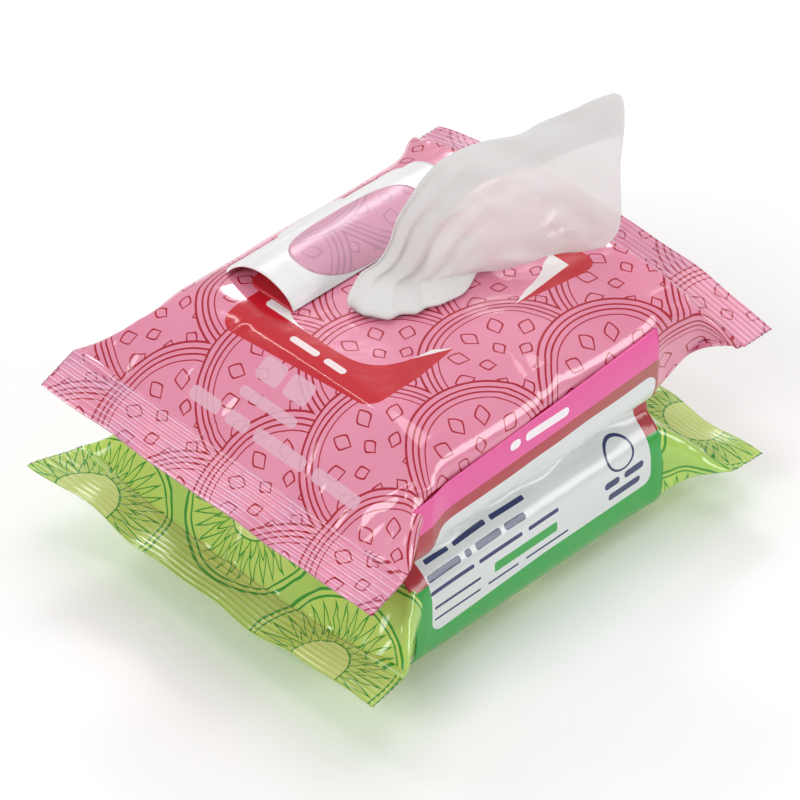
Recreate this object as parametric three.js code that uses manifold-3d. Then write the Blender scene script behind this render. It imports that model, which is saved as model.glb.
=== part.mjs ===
// A bundle of two soft packs of wet wipes, one on the other, joined along one long side by a printed label.
// The upper pack is open, with its reseal label curled back and one wipe half drawn out of it.
// Millimetres: X runs from end seal to end seal, Y from the bundling label to the back, and Z is up.
import * as THREE from "three";
import { mergeVertices } from "three/addons/utils/BufferGeometryUtils.js";
import Module from "manifold-3d";

const wasm = await Module();
wasm.setup();

// Wipes: each is cut as a rectangle and folded in half twice
const wipeCutLength = 195;
const wipeCutWidth = 177;
const wipePly = 0.32;
const wipesPerPack = 30;
const wipeAir = 0.03;
const stackDroop = 0.2; // share of its height that a stack loses at its long edges
const stackLean = 9.6; // how far the open pack's stack leans to the right from its foot to its top
const foldNotch = 1.2;
const acrossStack = 6;

// Film of the two pouches
const filmWall = 0.3;
const filmSlack = 0.3;
const cavityLeast = 12; // height below which the two films lie together
const filmEase = 6.2; // how much wider the empty pouch is than its stack's width and height together
const pouchLength = 158; // over both end seals, as the filled pouch lies
const cornerPower = 4; // of the superellipse that a filled body's section follows
const sealPower = 2.6; // near the seals, where top and bottom film meet in a sharper edge
const pressedCrown = 0.4; // how much of the crown of top and bottom is pressed flat
const slopePower = 1.25;
const widestHeld = 0.45; // share of the way to a seal where a body's widest line starts to rise to it
const cutsRoundBody = 28;
const cutCrowding = 0.45; // how much closer the cuts round a body are on its sides

// End seals, and the seam that is folded flat along the underside
const sealDepth = 13;
const crimpPitch = 1.8;
const crimpHeight = 0.25;
const crimpCount = 5;
const seamWidth = 11;
const seamCentre = 6;
const seamGroove = 0.25;
const seamLip = 0.6;
const seamLayers = 0.3;

// End seals: heights of their outer corners, how far a seal's middle bows over them, and its inward rise
const lowerLeftCorner = 22;
const lowerRightCorner = 15;
const upperLeftCorner = 54;
const upperRightCorner = 62;
const lowerLeftBow = -5;
const upperRightBow = 8;
const lowerRise = 0.1;
const upperLeftRise = 0.42;

// How far the flat top and bottom of a body stop short of its stack
const flatShort = 0.6;
const lowerFlatShort = 3;

// Opening in the upper pouch, which the peeled oval of film was cut from
const openingLength = 47;
const openingWidth = 22.7;
const openingX = 7.5;
const openingPower = 2.4;
const openingToPeel = 0.8;

// Reseal labels
const labelWall = 0.2;
const labelGap = 0.1;
const labelShort = 14; // how far each end of a label stops short of the stack's length
const labelX = 8.8;
const peelY = 15.5;
const labelHeld = 20.5;
const labelFree = 38;
const labelCorner = 6;
const tabLength = 9;
const tabWidth = 26;
const tabTaper = 0.35;
const curlStart = 72; // degrees at which the free part leaves the film
const curlKnee = 6;
const curlAtKnee = 28;
const curlRadius = 17.9; // of the bend past the knee
const curlSteepest = 75;

// Bundling label on the front
const bundleWall = 0.25;
const bundleGap = 0.6;
const bundleLength = 93;
const bundleX = -1.5;
const bundleLow = 7;
const bundleHigh = 72;
const creaseDepth = 46; // from the middle plane to the label in the crease between the pouches

// Drawn wipe: outlines as distance along the flag and height over the film
const flagFrom = [0, 2];
const flagTo = [60, -32];
const flagTop = [[2, 37], [8, 41.7], [16, 46.3], [30, 48], [45, 50.3], [60, 56.5]];
const flagFoot = [[22, 0.9], [30, 1.6], [40, 3.2], [50, 4.2], [57.5, 4]];
const flagLeft = [[-11, 8], [-5, 18], [-2.7, 30]];
const flagRight = [[62.5, 13], [62, 34]];
const bunchPleats = 3;
const bunchInset = 2.5;
const bunchLength = 30;
const pleatShare = 0.55; // of the opening's half width that the pleats reach
const tailInset = 4;

// Sizes that follow from the ones above
const foldedWipe = 4 * wipePly;
const wipePitch = foldedWipe + wipeAir;
const drawnWall = 2 * wipePly;
const stackLength = wipeCutLength / 2;
const stackWidth = wipeCutWidth / 2;
const flatWidth = stackWidth + wipesPerPack * wipePitch + filmEase;
const labelLength = stackLength - 2 * labelShort;
const innerEnd = pouchLength / 2 - sealDepth;
const stackFoot = filmWall + seamLayers + filmSlack / 2;
const openingY = peelY - openingToPeel - openingWidth / 2;

const bodyHeight = (wipes, tail) => wipes * wipePitch + tail + 2 * (filmWall + filmSlack) + seamLayers;
const flatEnds = (shift, short) => [shift - stackLength / 2 + short, shift + stackLength / 2 - short];

const lowerPouch = {
  floor: 0,
  height: bodyHeight(wipesPerPack, 0),
  fins: [
    { corner: lowerLeftCorner, bow: lowerLeftBow, rise: lowerRise },
    { corner: lowerRightCorner, bow: 0, rise: lowerRise },
  ],
  topEnds: flatEnds(0, lowerFlatShort),
  bottomEnds: flatEnds(0, lowerFlatShort),
};
const upperPouch = {
  floor: lowerPouch.height + 2 * labelGap + labelWall,
  height: bodyHeight(wipesPerPack - 1, drawnWall),
  fins: [
    { corner: upperLeftCorner, bow: 0, rise: upperLeftRise },
    { corner: upperRightCorner, bow: upperRightBow, rise: 0 },
  ],
  topEnds: flatEnds(stackLean, flatShort),
  bottomEnds: flatEnds(0, flatShort / 4),
};
const filmTop = upperPouch.floor + upperPouch.height;

const clampShare = (value) => Math.min(1, Math.max(0, value));
const smoothShare = (value) => clampShare(value) ** 2 * (3 - 2 * clampShare(value));
const mix = (from, to, share) => from + (to - from) * share;
const evenSteps = (from, to, count) => Array.from({ length: count + 1 }, (_, i) => mix(from, to, i / count));
const signedPower = (value, power) => Math.sign(value) * Math.abs(value) ** power;

// How far a station lies down the slope from the end of a flat to the seal's inner edge
function slopeShare(x, ends) {
  const flatEnd = x < 0 ? -ends[0] : ends[1];
  return clampShare((Math.abs(x) - flatEnd) / (innerEnd - flatEnd)) ** slopePower;
}

// Section of a pouch at a station: its top, bottom and middle heights and the powers of its two halves
function sectionAt(pouch, x, inset = 0) {
  const { corner, bow, rise } = pouch.fins[x < 0 ? 0 : 1];
  const fin = corner + rise * Math.min(sealDepth, pouchLength / 2 - Math.abs(x));
  const crown = pouch.floor + pouch.height;
  const topShare = slopeShare(x, pouch.topEnds);
  const bottomShare = slopeShare(x, pouch.bottomEnds);
  const level = smoothShare((Math.abs(x) / innerEnd - widestHeld) / (1 - widestHeld));
  return {
    top: mix(crown, fin + filmWall, topShare) - inset,
    bottom: mix(pouch.floor, fin - filmWall, bottomShare) + inset + (inset > 0 ? seamLayers : 0),
    middle: mix(pouch.floor + pouch.height / 2, fin, level),
    topPower: mix(cornerPower, sealPower, topShare),
    bottomPower: mix(cornerPower, sealPower, bottomShare),
    bow: bow * topShare,
    pressed: pressedCrown * (1 - Math.max(topShare, bottomShare)),
  };
}

// Superellipse of a section, from the middle of its top round by the front, with the length along it
function outlineOf(section, halfWidth) {
  const { top, bottom, middle, topPower, bottomPower, pressed } = section;
  const count = 240;
  const points = evenSteps(0, 2 * Math.PI, count).map((angle) => {
    const above = Math.cos(angle) >= 0;
    const power = above ? topPower : bottomPower;
    const upward = signedPower(Math.cos(angle), 2 / power);
    const half = (above ? top - middle : middle - bottom) + pressed;
    const y = -halfWidth * signedPower(Math.sin(angle), 2 / power);
    return [y, Math.min(top, Math.max(bottom, middle + half * upward))];
  });
  const lengths = [0];
  for (let i = 1; i <= count; i++) {
    lengths.push(lengths[i - 1] + Math.hypot(points[i][0] - points[i - 1][0], points[i][1] - points[i - 1][1]));
  }
  return { points, lengths, girth: lengths[count] };
}

// The film doesn't stretch, so the half width is the one at which the section takes its whole girth
const knownHalfWidths = new Map();
function halfWidthAt(pouch, x) {
  const key = `${pouch.floor} ${x}`;
  if (!knownHalfWidths.has(key)) {
    const section = sectionAt(pouch, x);
    let low = 0;
    let high = flatWidth;
    for (let i = 0; i < 24; i++) {
      const halfWidth = (low + high) / 2;
      [low, high] = outlineOf(section, halfWidth).girth > 2 * flatWidth ? [low, halfWidth] : [halfWidth, high];
    }
    knownHalfWidths.set(key, (low + high) / 2);
  }
  return knownHalfWidths.get(key);
}

// Where round the girth each section is cut: closer on the sides than on top, and thrice at each seam groove
function girthCuts() {
  const crowding = cutCrowding / (4 * Math.PI);
  const lip = seamLip / (2 * flatWidth);
  const seams = [-0.5, 0.5].map((side) => 0.5 + (seamCentre + side * seamWidth) / (2 * flatWidth));
  const plain = evenSteps(0, 1, cutsRoundBody)
    .slice(1)
    .map((share) => share + crowding * Math.sin(4 * Math.PI * share))
    .filter((share) => seams.every((seam) => Math.abs(share - seam) > 3 * lip))
    .map((share) => ({ share, groove: 0 }));
  const grooves = seams.flatMap((seam) => [
    { share: seam - lip, groove: 0 },
    { share: seam, groove: 1 },
    { share: seam + lip, groove: 0 },
  ]);
  return [...plain, ...grooves].sort((a, b) => a.share - b.share);
}
const cutsRound = girthCuts();

// Ring of points round a pouch at a station, from the front to the back over the underside
function ringAt(pouch, x, inset = 0, lift = 0) {
  const halfWidth = halfWidthAt(pouch, x) - 2 * inset;
  const section = sectionAt(pouch, x, inset);
  const { points, lengths, girth } = outlineOf(section, halfWidth);
  const grooved = inset > 0 ? 0 : seamGroove * smoothShare((innerEnd - Math.abs(x)) / sealDepth);
  return cutsRound.map(({ share, groove }) => {
    const target = Math.min(share, 1) * girth;
    const next = Math.max(1, lengths.findIndex((length) => length >= target - 1e-9));
    const part = (target - lengths[next - 1]) / (lengths[next] - lengths[next - 1]);
    const y = mix(points[next - 1][0], points[next][0], part);
    const z = mix(points[next - 1][1], points[next][1], part);
    const bowed = section.bow * (1 - ((2 * y) / flatWidth) ** 2);
    return [x, y, z + lift + bowed + groove * grooved];
  });
}

function geometryOf(positions, faces) {
  const geometry = new THREE.BufferGeometry();
  geometry.setAttribute("position", new THREE.Float32BufferAttribute(positions, 3));
  geometry.setIndex(faces);
  return geometry;
}

// Closed skin over rings of equal counts that follow each other to the right, with a fan on each end
function loft(rings) {
  const size = rings[0].length;
  const positions = rings.flat(2);
  const faces = [];
  for (let i = 0; i + 1 < rings.length; i++) {
    for (let j = 0; j < size; j++) {
      const a = i * size + j;
      const b = i * size + ((j + 1) % size);
      faces.push(a, b, a + size, b, b + size, a + size);
    }
  }
  for (const end of [0, rings.length - 1]) {
    const hub = positions.length / 3;
    positions.push(...[0, 1, 2].map((axis) => rings[end].reduce((sum, point) => sum + point[axis], 0) / size));
    for (let j = 0; j < size; j++) {
      const a = end * size + j;
      const b = end * size + ((j + 1) % size);
      faces.push(...(end ? [hub, a, b] : [hub, b, a]));
    }
  }
  return geometryOf(positions, faces);
}

// Closed thin sheet over a grid of points, thickened to the side of row direction cross column direction
function sheet(grid, wall) {
  const rows = grid.length;
  const columns = grid[0].length;
  const clampTo = (value, count) => Math.min(count - 1, Math.max(0, value));
  const at = (i, j) => new THREE.Vector3(...grid[clampTo(i, rows)][clampTo(j, columns)]);
  const positions = [];
  for (const lift of [0, wall]) {
    for (let i = 0; i < rows; i++) {
      for (let j = 0; j < columns; j++) {
        const alongRows = at(i + 1, j).sub(at(i - 1, j));
        const alongColumns = at(i, j + 1).sub(at(i, j - 1));
        const point = at(i, j).addScaledVector(alongRows.cross(alongColumns).normalize(), lift);
        positions.push(point.x, point.y, point.z);
      }
    }
  }
  const faces = [];
  const layer = rows * columns;
  const quad = (a, b, c, d) => faces.push(a, b, c, a, c, d);
  for (let i = 0; i + 1 < rows; i++) {
    for (let j = 0; j + 1 < columns; j++) {
      const a = i * columns + j;
      quad(a + layer, a + columns + layer, a + columns + 1 + layer, a + 1 + layer);
      quad(a, a + 1, a + columns + 1, a + columns);
    }
  }
  const rim = [];
  for (let j = 0; j < columns; j++) rim.push(j);
  for (let i = 1; i < rows; i++) rim.push(i * columns + columns - 1);
  for (let j = columns - 2; j >= 0; j--) rim.push((rows - 1) * columns + j);
  for (let i = rows - 2; i > 0; i--) rim.push(i * columns);
  rim.forEach((a, k) => {
    const b = rim[(k + 1) % rim.length];
    quad(a + layer, b + layer, b, a);
  });
  return geometryOf(positions, faces);
}

function solidOf(geometry) {
  const bare = geometry.clone();
  bare.deleteAttribute("normal");
  bare.deleteAttribute("uv");
  const merged = mergeVertices(bare, 1e-4);
  const mesh = new wasm.Mesh({
    numProp: 3,
    vertProperties: new Float32Array(merged.attributes.position.array),
    triVerts: new Uint32Array(merged.index.array),
  });
  return new wasm.Manifold(mesh);
}

function geometryFrom(solid) {
  const { vertProperties, triVerts } = solid.getMesh();
  return geometryOf(Array.from(vertProperties), Array.from(triVerts));
}

// Stations along a pouch's body between its seals, closer together on its slopes than on its flats
function bodyStations(pouch) {
  const turns = [-innerEnd, ...pouch.topEnds, ...pouch.bottomEnds, innerEnd].sort((a, b) => a - b);
  const counts = [6, 3, 4, 3, 6];
  const stations = counts.flatMap((count, i) => evenSteps(turns[i], turns[i + 1], count).slice(1));
  return stations.slice(0, -1).filter((x, i, all) => i === 0 || x - all[i - 1] > filmWall);
}

// Stations across an end seal, outwards from its inner edge, and how each crimp shifts the film there
function sealStations() {
  const crimps = evenSteps(0, crimpCount * crimpPitch, 2 * crimpCount);
  return [
    ...crimps.map((reach, i) => ({ reach, lift: i % 2 ? crimpHeight : 0 })),
    { reach: sealDepth, lift: 0 },
  ];
}

// Pouch from outside: crimped seal, body and crimped seal
function pouchSkin(pouch) {
  const seal = sealStations();
  const left = seal.map(({ reach, lift }) => ringAt(pouch, -innerEnd - reach, 0, lift)).reverse();
  const body = bodyStations(pouch).map((x) => ringAt(pouch, x));
  const right = seal.map(({ reach, lift }) => ringAt(pouch, innerEnd + reach, 0, lift));
  return loft([...left, ...body, ...right]);
}

// Half width of the opening at a distance along it from its middle
function openingHalfWidth(along) {
  const share = Math.min(1, Math.abs(along) / (openingLength / 2));
  return (openingWidth / 2) * (1 - share ** openingPower) ** (1 / openingPower);
}

function openingCutter() {
  const reach = 4;
  const outline = new THREE.Shape(
    evenSteps(0, 2 * Math.PI, 32)
      .slice(1)
      .map((angle) => {
        const x = (openingLength / 2) * signedPower(Math.cos(angle), 2 / openingPower);
        const y = (openingWidth / 2) * signedPower(Math.sin(angle), 2 / openingPower);
        return new THREE.Vector2(openingX + x, openingY + y);
      }),
  );
  const cutter = new THREE.ExtrudeGeometry(outline, { depth: 2 * reach, bevelEnabled: false });
  return cutter.translate(0, 0, filmTop - reach);
}

// Upper pouch: a film shell with the dispensing opening in its top
function openPouch() {
  const roomy = (x) => sectionAt(upperPouch, x).top - sectionAt(upperPouch, x).bottom > cavityLeast;
  const cavity = loft(bodyStations(upperPouch).filter(roomy).map((x) => ringAt(upperPouch, x, filmWall)));
  const shell = solidOf(pouchSkin(upperPouch)).subtract(solidOf(cavity));
  return geometryFrom(shell.subtract(solidOf(openingCutter())));
}

// Height of a pouch's top at a point of the plan, or of a skin that lies clear of it
function topAt(pouch, x, y, clear = 0) {
  const { top, middle, topPower, pressed } = sectionAt(pouch, x);
  const share = Math.min(1, Math.abs(y) / (halfWidthAt(pouch, x) + clear));
  const round = middle + (top - middle + pressed + clear) * (1 - share ** topPower) ** (1 / topPower);
  return Math.min(top + clear, round);
}

// How far a pouch's side reaches from the middle plane at a height, or that of a skin clear of it
function sideAt(pouch, x, z, clear = 0) {
  const { top, bottom, middle, topPower, bottomPower, pressed } = sectionAt(pouch, x);
  const power = z >= middle ? topPower : bottomPower;
  const half = (z >= middle ? top - middle : middle - bottom) + pressed + clear;
  const share = Math.min(1, Math.abs(z - middle) / half);
  return (halfWidthAt(pouch, x) + clear) * (1 - share ** power) ** (1 / power);
}

// Height in the open pack's stack, which shrinks towards its two long edges
function inStack(y, height) {
  const middle = ((wipesPerPack - 1) * wipePitch) / 2;
  const shrink = 1 - stackDroop * Math.min(1, Math.abs(y) / (stackWidth / 2)) ** 4;
  return upperPouch.floor + stackFoot + middle + (height - middle) * shrink;
}

// Folded wipe of the stack: four plies with a notch between the folds on both long edges
function stackedWipe(index) {
  const edge = stackWidth / 2;
  const foot = index * wipePitch;
  const across = evenSteps(-edge, edge, acrossStack);
  const under = across.map((y) => new THREE.Vector2(y, inStack(y, foot)));
  const over = across.map((y) => new THREE.Vector2(y, inStack(y, foot + foldedWipe))).reverse();
  const notch = (side) => new THREE.Vector2(side * (edge - foldNotch), inStack(edge, foot + foldedWipe / 2));
  const shape = new THREE.Shape([...under, notch(1), ...over, notch(-1)]);
  const lean = (stackLean * index) / (wipesPerPack - 2);
  const alongX = new THREE.Matrix4().set(0, 0, 1, 0, 1, 0, 0, 0, 0, 1, 0, 0, 0, 0, 0, 1);
  const slab = new THREE.ExtrudeGeometry(shape, { depth: stackLength, bevelEnabled: false });
  return slab.applyMatrix4(alongX).translate(lean - stackLength / 2, 0, 0);
}

// Curve of the curled label's free part, from the peel line over the crest and down the pouch's back
function curlCurve() {
  const step = 0.5;
  const points = [[peelY, topAt(upperPouch, labelX, peelY) + labelGap]];
  for (let reach = step; reach < labelFree + tabLength + 2 * step; reach += step) {
    const rising = mix(curlStart, curlAtKnee, reach / curlKnee);
    const turned = THREE.MathUtils.radToDeg((reach - curlKnee) / curlRadius);
    const falling = Math.max(curlAtKnee - turned, -curlSteepest);
    const angle = THREE.MathUtils.degToRad(reach < curlKnee ? rising : falling);
    const [lastY, lastZ] = points[points.length - 1];
    const y = lastY + step * Math.cos(angle);
    const resting = topAt(upperPouch, labelX, y, 2 * labelWall + 3 * labelGap);
    points.push([y, Math.max(lastZ + step * Math.sin(angle), resting)]);
  }
  return (reach) => {
    const index = Math.min(points.length - 2, Math.floor(reach / step));
    const part = reach / step - index;
    return [mix(points[index][0], points[index + 1][0], part), mix(points[index][1], points[index + 1][1], part)];
  };
}
const curlAt = curlCurve();

// Half width of a reseal label at a distance past its peel line: round corners, then a tapered finger tab
function labelHalfWidth(reach) {
  const past = reach - labelFree;
  if (past >= 0) {
    const share = past / tabLength;
    return (tabWidth / 2) * (1 - tabTaper * share ** 2) - labelCorner * share ** 6 * 0.6;
  }
  const near = Math.min(labelCorner, -past, reach + labelHeld);
  return labelLength / 2 - labelCorner + Math.sqrt(labelCorner ** 2 - (labelCorner - near) ** 2);
}

// Reseal label over a function that gives the place of each point past the peel line
function resealLabel(placeAt) {
  const reaches = [
    ...evenSteps(-labelHeld, labelCorner - labelHeld, 3),
    ...evenSteps(labelCorner - labelHeld, 0, 2).slice(1),
    ...evenSteps(0, labelFree - labelCorner, 14).slice(1),
    ...evenSteps(labelFree - labelCorner, labelFree, 4).slice(1, -1),
    labelFree - 0.3,
    ...evenSteps(labelFree, labelFree + tabLength, 4),
  ];
  const grid = reaches.map((reach) =>
    evenSteps(-1, 1, 6).map((share) => {
      const x = labelX + share * labelHalfWidth(reach);
      return [x, ...placeAt(reach, x)];
    }),
  );
  return sheet(grid, labelWall);
}

const flatOn = (pouch) => (reach, x) => [peelY - reach, topAt(pouch, x, peelY - reach) + labelGap];
const curled = (reach, x) => (reach < 0 ? flatOn(upperPouch)(reach, x) : curlAt(reach));

// Oval of film that came away with the label, on its sticky side
function filmCutout() {
  const angles = evenSteps(0.12 * Math.PI, 0.88 * Math.PI, 10);
  const grid = angles.map((angle) => {
    const across = (-openingWidth / 2) * signedPower(Math.cos(angle), 2 / openingPower);
    const reach = openingToPeel + openingWidth / 2 + across;
    const [y, z] = curlAt(reach);
    const [nextY, nextZ] = curlAt(reach + 0.5);
    const away = new THREE.Vector2(nextZ - z, y - nextY).normalize().multiplyScalar(-labelGap);
    const halfLength = (openingLength / 2) * signedPower(Math.sin(angle), 2 / openingPower);
    return evenSteps(1, -1, 6).map((share) => [openingX + share * halfLength, y + away.x, z + away.y]);
  });
  return sheet(grid, labelWall);
}

// Bundling label: it follows the side of whichever pouch stands out further, and dips into the crease
function bundlingLabel() {
  const levels = evenSteps(bundleHigh, bundleLow, 18);
  const turns = evenSteps(-Math.PI / 2, Math.PI / 2, 10);
  const stations = turns.map((turn) => bundleX + (bundleLength / 2) * Math.sin(turn));
  const grid = levels.map((z) =>
    stations.map((x) => {
      const sides = [lowerPouch, upperPouch].map((pouch) => sideAt(pouch, x, z, bundleGap));
      return [x, -Math.max(...sides, creaseDepth), z];
    }),
  );
  return sheet(grid, bundleWall);
}

// Point of the drawn wipe's flag, from its distance along the flag and its height over the film
function flagPoint([along, height]) {
  const run = Math.hypot(flagTo[0] - flagFrom[0], flagTo[1] - flagFrom[1]);
  const x = mix(flagFrom[0], flagTo[0], along / run);
  const y = mix(flagFrom[1], flagTo[1], along / run);
  return new THREE.Vector3(x, y, filmTop + height);
}

// Pleats of the drawn wipe inside the opening, where it is gathered
function gatheredFoot(z) {
  const from = bunchInset - openingLength / 2;
  return evenSteps(0, 1, 2 * bunchPleats).map((share, i) => {
    const along = from + share * bunchLength;
    const side = (i % 2 ? -pleatShare : pleatShare) * openingHalfWidth(along);
    return new THREE.Vector3(openingX + along, openingY + side, z);
  });
}

// Drawn wipe above the film: a patch between its gathered foot, its two sides and its top
function drawnFlag(footZ) {
  const curve = (points) => new THREE.CatmullRomCurve3(points, false, "centripetal");
  const foot = gatheredFoot(footZ);
  const lifted = foot[foot.length - 1].clone().add(new THREE.Vector3(3, -1, filmTop - footZ + 1));
  const bottom = curve([...foot, lifted, ...flagFoot.map(flagPoint)]);
  const top = curve(flagTop.map(flagPoint));
  const left = curve([foot[0], ...flagLeft.map(flagPoint), top.getPoint(0)]);
  const right = curve([bottom.getPoint(1), ...flagRight.map(flagPoint), top.getPoint(1)]);
  const corner = (u, v) => (v ? top : bottom).getPoint(u);
  const patch = (u, v) => {
    const sides = left.getPointAt(v).multiplyScalar(1 - u).addScaledVector(right.getPointAt(v), u);
    const ends = bottom.getPointAt(u).multiplyScalar(1 - v).addScaledVector(top.getPointAt(u), v);
    const low = corner(0, 0).multiplyScalar(1 - u).addScaledVector(corner(1, 0), u);
    const high = corner(0, 1).multiplyScalar(1 - u).addScaledVector(corner(1, 1), u);
    return sides.add(ends).addScaledVector(low, v - 1).addScaledVector(high, -v).toArray();
  };
  return sheet(evenSteps(0, 1, 9).map((v) => evenSteps(0, 1, 30).map((u) => patch(u, v))), drawnWall);
}

// Rest of the drawn wipe, still flat on the stack under the film
function drawnTail() {
  const height = (wipesPerPack - 1) * wipePitch;
  const ends = [stackLean - stackLength / 2 + tailInset, stackLean + stackLength / 2 - tailInset];
  const across = evenSteps(stackWidth / 2, -stackWidth / 2, acrossStack).slice(1, -1);
  const grid = across.map((y) => ends.map((x) => [x, y, inStack(y, height)]));
  return sheet(grid, drawnWall);
}

function drawnWipe() {
  const footZ = inStack(0, (wipesPerPack - 1) * wipePitch) + drawnWall / 2;
  return geometryFrom(solidOf(drawnTail()).add(solidOf(drawnFlag(footZ))));
}

const pinkFilm = new THREE.MeshStandardMaterial({ color: 0xec8fad, roughness: 0.3 });
const greenFilm = new THREE.MeshStandardMaterial({ color: 0xa9cc5a, roughness: 0.3 });
const labelFilm = new THREE.MeshStandardMaterial({ color: 0xf3f1ee, roughness: 0.4 });
const bundleFilm = new THREE.MeshStandardMaterial({ color: 0xe8569b, roughness: 0.35 });
const wetCloth = new THREE.MeshStandardMaterial({ color: 0xf2f0ec, roughness: 0.8 });

function part(name, geometry, material) {
  const mesh = new THREE.Mesh(geometry, material);
  mesh.name = name;
  return mesh;
}

const bundle = new THREE.Group();
bundle.add(
  part("lower_pouch", pouchSkin(lowerPouch), greenFilm),
  part("lower_reseal_label", resealLabel(flatOn(lowerPouch)), labelFilm),
  part("upper_pouch", openPouch(), pinkFilm),
  part("reseal_label", resealLabel(curled), labelFilm),
  part("film_cutout", filmCutout(), pinkFilm),
  part("bundling_label", bundlingLabel(), bundleFilm),
  part("drawn_wipe", drawnWipe(), wetCloth),
);
for (let index = 0; index < wipesPerPack - 1; index++) {
  const number = String(index + 1).padStart(2, "0");
  bundle.add(part(`wipe_${number}`, stackedWipe(index), wetCloth));
}

export default bundle;
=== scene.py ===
from functools import partial

import bpy
import numpy as np
from mathutils import Matrix


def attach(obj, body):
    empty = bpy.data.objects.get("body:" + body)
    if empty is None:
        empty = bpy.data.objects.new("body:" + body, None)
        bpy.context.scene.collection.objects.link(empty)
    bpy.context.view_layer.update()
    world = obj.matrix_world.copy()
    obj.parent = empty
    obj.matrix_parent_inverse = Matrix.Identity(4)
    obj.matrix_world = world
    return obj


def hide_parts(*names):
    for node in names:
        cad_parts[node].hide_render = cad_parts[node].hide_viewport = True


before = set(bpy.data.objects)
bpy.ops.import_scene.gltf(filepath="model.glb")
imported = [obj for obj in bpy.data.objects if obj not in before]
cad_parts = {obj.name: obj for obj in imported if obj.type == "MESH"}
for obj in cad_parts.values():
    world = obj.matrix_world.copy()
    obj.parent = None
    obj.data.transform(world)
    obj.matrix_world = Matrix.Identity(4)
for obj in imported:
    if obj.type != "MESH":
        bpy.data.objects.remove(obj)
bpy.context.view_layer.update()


# ---- Viewpoint and studio ----
# The pack lies on a pale table top, seen from its front left corner and from well above,
# through a long lens. Broad soft lamps stand round it, and the film mirrors them as glare.

azimuth, elevation = np.radians([-44.421, 40.347])
looked_at = np.array([-0.004845, -0.001947, 0.046])
camera_distance = 1.219053
back = np.array([np.sin(azimuth) * np.cos(elevation), -np.cos(azimuth) * np.cos(elevation), np.sin(elevation)])
right = np.array([np.cos(azimuth), np.sin(azimuth), 0.0])
up = np.cross(back, right)


def placed(name, data):
    """Object with this data, linked to the scene."""
    made = bpy.data.objects.new(name, data)
    bpy.context.scene.collection.objects.link(made)
    return made


def facing_place(right, up, back, spot):
    """Matrix of an object from its own three axes and its place."""
    columns = np.stack([right, up, back, spot], 1)
    return Matrix([*columns.tolist(), [0, 0, 0, 1]])


lens = bpy.data.cameras.new("camera")
lens.lens = 193.5
lens.clip_start = 0.05
camera = placed("camera", lens)
camera.matrix_world = facing_place(right, up, back, looked_at + camera_distance * back)
bpy.context.scene.camera = camera


def linear(hex_colour):
    """Linear colour of an sRGB hex string: ((c + 0.055) / 1.055) ** 2.4 above the toe."""
    srgb = np.array([int(hex_colour[i : i + 2], 16) for i in (1, 3, 5)]) / 255
    low = srgb <= 0.04045
    return (*np.where(low, srgb / 12.92, ((srgb + 0.055) / 1.055) ** 2.4).tolist(), 1.0)


def feed(tree, socket, value):
    """Links a socket to a node or another socket, or sets its value; None leaves it alone."""
    if isinstance(value, bpy.types.Node):
        value = value.outputs[0]
    if isinstance(value, bpy.types.NodeSocket):
        tree.links.new(value, socket)
    elif value is not None:
        socket.default_value = value


def node(tree, kind, *inputs, **settings):
    """Adds a node and returns it. kind is its type, with its operation after a colon; each input is a value,
    a node, a socket, or None to leave it alone."""
    kind, _, operation = kind.partition(":")
    made = tree.nodes.new("ShaderNode" + kind)
    if operation:
        made.operation = operation
    for name, value in settings.items():
        setattr(made, name, value)
    for socket, value in zip(made.inputs, inputs):
        feed(tree, socket, value)
    return made


def finish_of(name, paint, **constants):
    """Material whose paint function gets its node maker and returns base colour, roughness, normal and alpha,
    each a socket, a value or None; constants are values on the shader's own sockets."""
    material = bpy.data.materials.new(name)
    material.use_nodes = True
    tree = material.node_tree
    tree.nodes.clear()
    shader = node(tree, "BsdfPrincipled")
    for label, value in zip(("Base Color", "Roughness", "Normal", "Alpha"), paint(partial(node, tree))):
        feed(tree, shader.inputs[label], value)
    for label, value in constants.items():
        shader.inputs[label.replace("_", " ")].default_value = value
    node(tree, "OutputMaterial", shader)
    return material


def coated(n, ground, *coats):
    """Ground colour with coats laid over it in turn, each a mask, its strength and its colour."""
    colour = linear(ground)
    for mask, strength, tint in coats:
        colour = n("MixRGB", n("Math:MULTIPLY", mask, strength), colour, linear(tint))
    return colour


def table_paint(n):
    """White with a hardly visible speckle."""
    speckle = n("TexNoise", n("TexCoord").outputs["Object"], None, 40.0, 2.0)
    return coated(n, "#fbfbfc", (speckle, 1.0, "#ffffff")), 0.6, None, None


table_half = 6.0
table_corners = [(x * table_half, y * table_half, 0) for x, y in ((-1, -1), (1, -1), (1, 1), (-1, 1))]
table_top = bpy.data.meshes.new("table_top")
table_top.from_pydata(table_corners, [], [(0, 1, 2, 3)])
# Pressed melamine laminate: matt and near white, so that it only takes soft shadows.
table_top.materials.append(finish_of("pressed_melamine_laminate", table_paint))
table = placed("table", table_top)

# Each lamp's place and its width and height in metres, and its power in watts. All of them face the pack.
lamps = {
    "window": ((-1.0, -0.1, 0.95), (0.7, 0.5), 5.8),
    "sky": ((0.25, 0.1, 1.5), (0.8, 0.8), 5.0),
    "fill": ((0.7, -1.0, 0.5), (0.6, 0.4), 4.0),
    "strip": ((0.7, 0.85, 0.72), (0.35, 0.22), 3.0),
    "edge": ((-0.22, 0.62, 0.95), (0.08, 0.3), 0.7),
}
for name, (spot, extent, power) in lamps.items():
    lamp = bpy.data.lights.new(name, "AREA")
    lamp.shape = "RECTANGLE"
    lamp.size, lamp.size_y = extent
    lamp.energy = power
    away = np.array(spot) - looked_at
    away /= np.linalg.norm(away)
    side = np.cross((0, 0, 1), away)
    side /= np.linalg.norm(side)
    placed(name, lamp).matrix_world = facing_place(side, np.cross(away, side), away, np.array(spot))

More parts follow.
